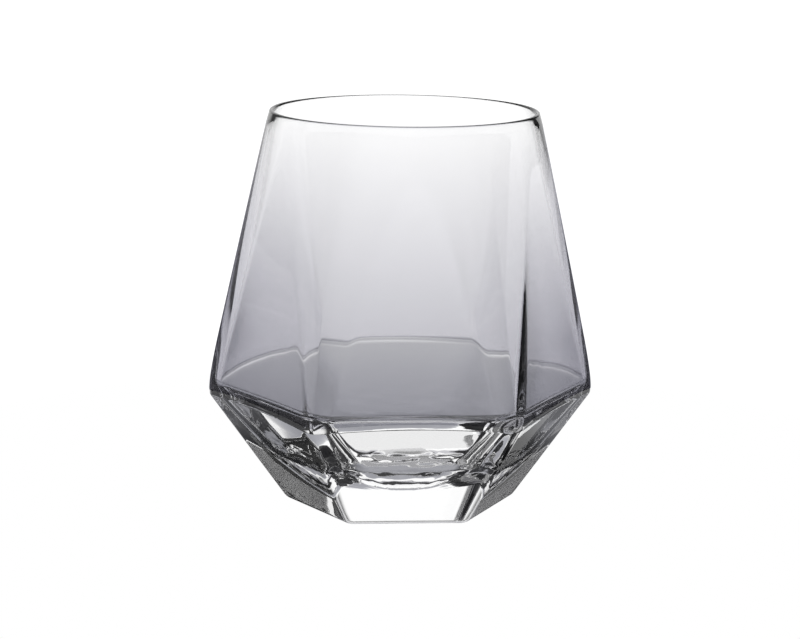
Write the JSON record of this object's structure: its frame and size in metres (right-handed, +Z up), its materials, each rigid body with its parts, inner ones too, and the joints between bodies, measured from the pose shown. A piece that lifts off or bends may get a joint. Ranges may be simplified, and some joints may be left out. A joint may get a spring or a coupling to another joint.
{
  "type": "whiskey tumbler",
  "caption": "Stemless whiskey tumbler: round mouth, hexagonal belly, small hexagonal foot and thick clear base, with a smoke-grey gradient coating on the upper panels.",
  "frame": {"origin": "centre of the flat hexagonal face that the glass stands on", "axes": "+Z up along the glass's axis; one corner of the hexagon points along +X, so a flat panel faces -Y"},
  "size_m": [0.0976, 0.086, 0.1],
  "materials": {
    "clear_glass": "fire-polished clear soda-lime glass",
    "smoke_tint": "glossy see-through smoke-grey coating, densest at the belly and fading out at the lip"
  },
  "bodies": {
    "root": {"glass_body": "clear_glass", "tint_coating": "smoke_tint"}
  },
  "joints": []
}
